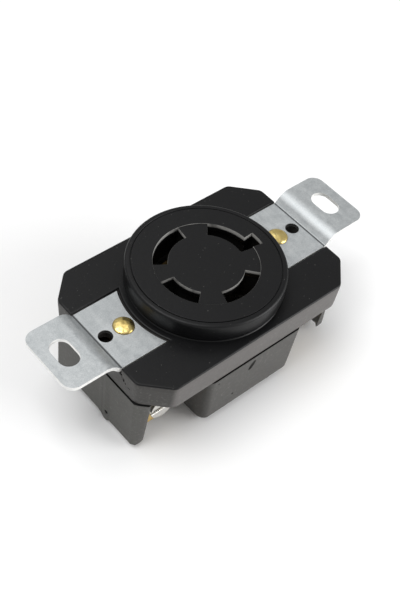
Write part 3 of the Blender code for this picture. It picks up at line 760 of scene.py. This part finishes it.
def bendPath():
    # the top of the sheet through the step: a tight hollow arc, a slope, and a wide arc back to level
    rise = earTop - strapTop
    turn = math.radians(ear["angle"])
    drop = (ear["inner"] + ear["outer"]) * (1 - math.cos(turn))
    slope = (rise - drop) / math.sin(turn)
    first = arcPoints(ear["inner"], -90, ear["angle"] - 90, 6, (ear["bend"], strapTop + ear["inner"]))
    topX = first[-1, 0] + slope * math.cos(turn) + ear["outer"] * math.sin(turn)
    second = arcPoints(ear["outer"], 90 + ear["angle"], 90, 12, (topX, earTop - ear["outer"]))
    return np.concatenate([first, second])


def flatFill(loops, height):
    # a level sheet between an outline and its holes
    flat = np.concatenate(loops)
    outlines = [[Vector((x, y, 0)) for x, y in loop.tolist()] for loop in loops]
    points = np.column_stack([flat, np.full(len(flat), height)])
    return points, [list(corner) for corner in geometry.tessellate_polygon(outlines)]


def makeEar(side, word):
    # one sheet of three stretches that share their edges, thickened downwards, with its cut edges eased
    half = ear["half"]
    path = bendPath()
    across = np.linspace(-half, half, ear["columns"])
    reach = math.degrees(math.asin(half / ear["arc"]))
    start = np.column_stack([np.full(ear["columns"], path[0, 0]), across])
    stop = np.column_stack([np.full(ear["columns"], path[-1, 0]), across])
    inner = np.concatenate([start, arcPoints(ear["arc"], reach, -reach, 33)])
    head = np.concatenate([
        arcPoints(ear["corner"], -90, 0, 10, (ear["end"] - ear["corner"], ear["corner"] - half)),
        arcPoints(ear["corner"], 0, 90, 10, (ear["end"] - ear["corner"], half - ear["corner"]))])
    outer = np.concatenate([head, stop[::-1]])
    radius = ear["slotWide"] / 2
    straight = (ear["slotLong"] - ear["slotWide"]) / 2
    slot = np.concatenate([arcPoints(radius, 0, 180, 17, (ear["slotX"], straight)),
                           arcPoints(radius, 180, 360, 17, (ear["slotX"], -straight))])[::-1]
    tapHole = circle(ear["tap"], 36, (ear["tapX"], 0))[::-1]
    rivetHole = circle(ear["rivetHole"], 28, (ear["rivetX"], 0))[::-1]
    grid = np.zeros((len(path), ear["columns"], 3))
    grid[:, :, 0] = path[:, :1]
    grid[:, :, 1] = across
    grid[:, :, 2] = path[:, 1:]
    index = np.arange(grid.shape[0] * grid.shape[1]).reshape(grid.shape[:2])
    quads = np.stack([index[:-1, :-1], index[1:, :-1], index[1:, 1:], index[:-1, 1:]], -1)
    parts = [flatFill([inner, tapHole, rivetHole], strapTop), flatFill([outer, slot], earTop),
             (grid.reshape(-1, 3), quads.reshape(-1, 4).tolist())]
    name = "earPlate" + word.capitalize()
    mesh = meshOf(name, parts)
    work = bmesh.new()
    work.from_mesh(mesh)
    bmesh.ops.remove_doubles(work, verts=work.verts, dist=1e-6)
    bmesh.ops.recalc_face_normals(work, faces=work.faces)
    if sum(face.normal.z * face.calc_area() for face in work.faces) < 0:
        bmesh.ops.reverse_faces(work, faces=work.faces)
    work.to_mesh(mesh)
    work.free()
    if side < 0:
        mesh.transform(Matrix.Rotation(math.pi, 4, "Z"))
    piece = bpy.data.objects.new(name, mesh)
    bpy.context.scene.collection.objects.link(piece)
    mesh.materials.append(zincSteel)
    mesh.materials.append(cutSteel)
    mesh.shade_smooth()
    thicken = piece.modifiers.new("thickness", "SOLIDIFY")
    thicken.thickness = earThick
    thicken.offset = -1
    thicken.material_offset_rim = 1
    ease = piece.modifiers.new("ease", "BEVEL")
    ease.width = ear["edge"]
    ease.segments = 2
    ease.limit_method = "ANGLE"
    ease.angle_limit = math.radians(ear["sharpAbove"])
    ease.harden_normals = True
    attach(piece, "housing")
    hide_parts("mounting_ear_" + word)


for side, word in ((-1, "left"), (1, "right")):
    makeEar(side, word)
print("ears made")


# rivets

rivet = {"x": ear["rivetX"], "head": 2.65 * mm, "shank": 2.0 * mm, "lip": 0.12 * mm,
         "dome": rivetHigh.z - strapTop - 0.1 * mm, "tail": 3.0 * mm, "tailHigh": 1.0 * mm, "bore": 1.2 * mm,
         "boreDeep": 8.0 * mm, "rings": 12, "around": 48}


def makeRivet(side, word, hammer, lumps, seed):
    # a shallow dome, beaten by a few smooth waves, over a shank that ends in a rolled, hollow tail
    generator = np.random.default_rng(seed)
    headFoot = strapTop + 0.02 * mm
    share = np.linspace(0.04, 1, rivet["rings"])
    lip = rivet["lip"]
    dome = np.stack([rivet["head"] * np.sin(share * math.pi / 2),
                     headFoot + lip + (rivet["dome"] - lip) * np.cos(share * math.pi / 2)], 1)
    foot = rivetLow.z
    tailTop = foot + rivet["tailHigh"]
    boreTop = foot + rivet["boreDeep"]
    lower = [(rivet["head"], headFoot), (rivet["shank"], headFoot), (rivet["shank"], tailTop + 0.3 * mm),
             (rivet["tail"] - 0.3 * mm, tailTop), (rivet["tail"], tailTop - 0.4 * mm),
             (rivet["tail"] - 0.35 * mm, foot), (rivet["bore"] + 0.3 * mm, foot),
             (rivet["bore"], foot + 0.5 * mm), (rivet["bore"], boreTop), (0.05 * mm, boreTop)]
    profile = np.concatenate([dome, lower])
    angle = np.linspace(0, 2 * math.pi, rivet["around"], endpoint=False)
    grid = np.zeros((len(profile), rivet["around"], 3))
    grid[:, :, 0] = profile[:, :1] * np.cos(angle)
    grid[:, :, 1] = profile[:, :1] * np.sin(angle)
    grid[:, :, 2] = profile[:, 1:]
    wave = np.zeros(grid.shape[:2])
    for _ in range(lumps):
        heading = generator.uniform(0, 2 * math.pi)
        pace = generator.uniform(900, 2200)
        shift = generator.uniform(0, 2 * math.pi)
        wave += np.sin(pace * (grid[:, :, 0] * math.cos(heading) + grid[:, :, 1] * math.sin(heading)) + shift)
    calm = np.zeros(len(profile))
    calm[:rivet["rings"]] = 1 - share ** 6
    grid[:, :, 2] += hammer * (wave / lumps - 0.6) * calm[:, None]
    grid[:, :, 0] += side * rivet["x"]
    addPiece("rivet" + word.capitalize(), [shell([grid])], rivetBrass, "housing",
             ["ear_rivet_" + word], 40)


# the left head was beaten harder
makeRivet(-1, "left", 0.22 * mm, 5, 4)
makeRivet(1, "right", 0.08 * mm, 3, 9)
print("rivets made")


# terminals

terminal = {"x": 24.2 * mm, "z": 10.6 * mm, "head": 3.5 * mm, "shank": 2.0 * mm, "thick": 1.3 * mm,
            "seat": 14.3 * mm, "tip": 5.2 * mm, "slot": 0.5 * mm, "slotDeep": 0.9 * mm,
            "plateY": 12.6 * mm, "plateThick": 1.4 * mm, "wide": 9.0 * mm, "tall": 11.6 * mm,
            "plateCorner": 0.9 * mm, "plateHole": 2.3 * mm}
screwFinishes = {"line_x": ("brass", stampedBrass), "line_y": ("brass", stampedBrass),
                 "neutral": ("nickel_plate", nickelPlate), "ground": ("green_plate", greenPlate)}


def terminalPlace(pole):
    # local Z points out of the pocket, at the screw's axis
    sideX, sideY = poleSides[pole]
    return (Matrix.Translation((sideX * terminal["x"], 0, terminal["z"]))
            @ Matrix.Rotation(-sideY * math.pi / 2, 4, "X"))


def makeScrew(pole):
    # a shank, a washer-like head foot, and two half-moons of the head with the driver slot between them
    slotFloor = terminal["seat"] + terminal["thick"] - terminal["slotDeep"]
    top = terminal["seat"] + terminal["thick"]
    edge = math.degrees(math.asin(terminal["slot"] / terminal["head"]))
    seat = terminal["seat"]
    parts = [plate([circle(terminal["shank"], 32)], terminal["tip"], seat + 0.2 * mm, 0.6 * mm, 0),
             plate([circle(terminal["head"], 64)], seat, slotFloor, 0.15 * mm, 0)]
    for start in (edge, 180 + edge):
        moon = arcPoints(terminal["head"], start, start + 180 - 2 * edge, 32)
        parts.append(plate([moon], slotFloor - 0.01 * mm, top, 0, 0.3 * mm))
    slot, finish = screwFinishes[pole]
    parts = [moved(part, terminalPlace(pole)) for part in parts]
    addPiece("terminalScrew_" + pole, parts, finish, "screw_" + pole, ["terminal_screw_" + pole])


def makeClamp(pole):
    # an oblong plate with rounded corners and a hole for the screw
    wide = terminal["wide"] / 2
    tall = terminal["tall"] / 2
    corners = [(wide, -tall), (wide, tall), (-wide, tall), (-wide, -tall)]
    square = roundedLoop(corners, terminal["plateCorner"], 5)
    hole = circle(terminal["plateHole"], 32)[::-1]
    parts = [plate([square, hole], terminal["plateY"], terminal["plateY"] + terminal["plateThick"],
                   0.12 * mm, 0.2 * mm)]
    parts = [moved(part, terminalPlace(pole)) for part in parts]
    addPiece("clampPlate_" + pole, parts, stampedBrass, "clamp_" + pole, ["clamp_plate_" + pole])


for pole in bladeSlots:
    makeScrew(pole)
    makeClamp(pole)
print("terminals made")

# the contacts and the grounding plate keep their CAD shapes
for nodeName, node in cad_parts.items():
    finish = None
    if nodeName.startswith("contact_jaw"):
        finish = contactBrassShaded
    elif nodeName == "ground_plate":
        finish = stampedBrass
    elif nodeName.startswith("contact_leaf"):
        finish = springBronze
    if finish:
        node.data.materials.clear()
        node.data.materials.append(finish)
print("contacts finished")


# floor, light and camera

floorSize = {"reach": 3.0, "height": -0.2 * mm}


def makeFloor():
    # a wide level square just under the object
    material, shader, start = newFinish("paleFloor")
    tone = noise(start, 20, 2).mix((0.92, 0.92, 0.92), (0.94, 0.94, 0.94))
    plug(shader, Base_Color=tone, Roughness=0.8)
    mesh = bpy.data.meshes.new("floor")
    reach = floorSize["reach"]
    height = floorSize["height"]
    mesh.from_pydata([(-reach, -reach, height), (reach, -reach, height), (reach, reach, height),
                      (-reach, reach, height)], [], [(0, 1, 2, 3)])
    floor = bpy.data.objects.new("floor", mesh)
    bpy.context.scene.collection.objects.link(floor)
    mesh.materials.append(material)


lights = [
    # name, place, size, watts
    ("overhead", (-0.30, 0.10, 0.85), 0.55, 4.6),
    ("front", (0.52, -0.68, 0.28), 0.6, 6.6),
    ("back", (0.12, 0.50, 0.76), 0.5, 0.8),
]


def addLights():
    # square lamps that face the object's middle, and an even white surround
    for name, place, size, watts in lights:
        data = bpy.data.lights.new(name, "AREA")
        data.size = size
        data.energy = watts
        lamp = bpy.data.objects.new(name, data)
        lamp.location = place
        lamp.rotation_euler = (Vector((0, 0, 0.02)) - Vector(place)).to_track_quat("-Z", "Y").to_euler()
        bpy.context.scene.collection.objects.link(lamp)
    world = bpy.data.worlds.new("studio")
    world.use_nodes = True
    background = world.node_tree.nodes["Background"]
    background.inputs["Color"].default_value = (1, 1, 1, 1)
    background.inputs["Strength"].default_value = 0.45
    bpy.context.scene.world = world
    bpy.context.scene.view_settings.view_transform = "Standard"


camera = {"place": (-0.124016, -0.113029, 0.214209), "ahead": (0.48048991, 0.43891942, -0.75926226),
          "roll": 9.2, "lens": 61.81}


def addCamera():
    # level axes across and up the view, turned together by the roll
    ahead = Vector(camera["ahead"]).normalized()
    across = Vector((ahead.y, -ahead.x, 0)).normalized()
    up = across.cross(ahead)
    roll = math.radians(camera["roll"])
    right = across * math.cos(roll) + up * math.sin(roll)
    top = up * math.cos(roll) - across * math.sin(roll)
    data = bpy.data.cameras.new("camera")
    data.lens = camera["lens"]
    data.sensor_width = 36
    data.clip_start = 0.005
    viewer = bpy.data.objects.new("camera", data)
    bpy.context.scene.collection.objects.link(viewer)
    turn = Matrix((right, top, -ahead)).transposed().to_4x4()
    viewer.matrix_world = Matrix.Translation(camera["place"]) @ turn
    bpy.context.scene.camera = viewer


makeFloor()
addLights()
addCamera()
print("scene ready")
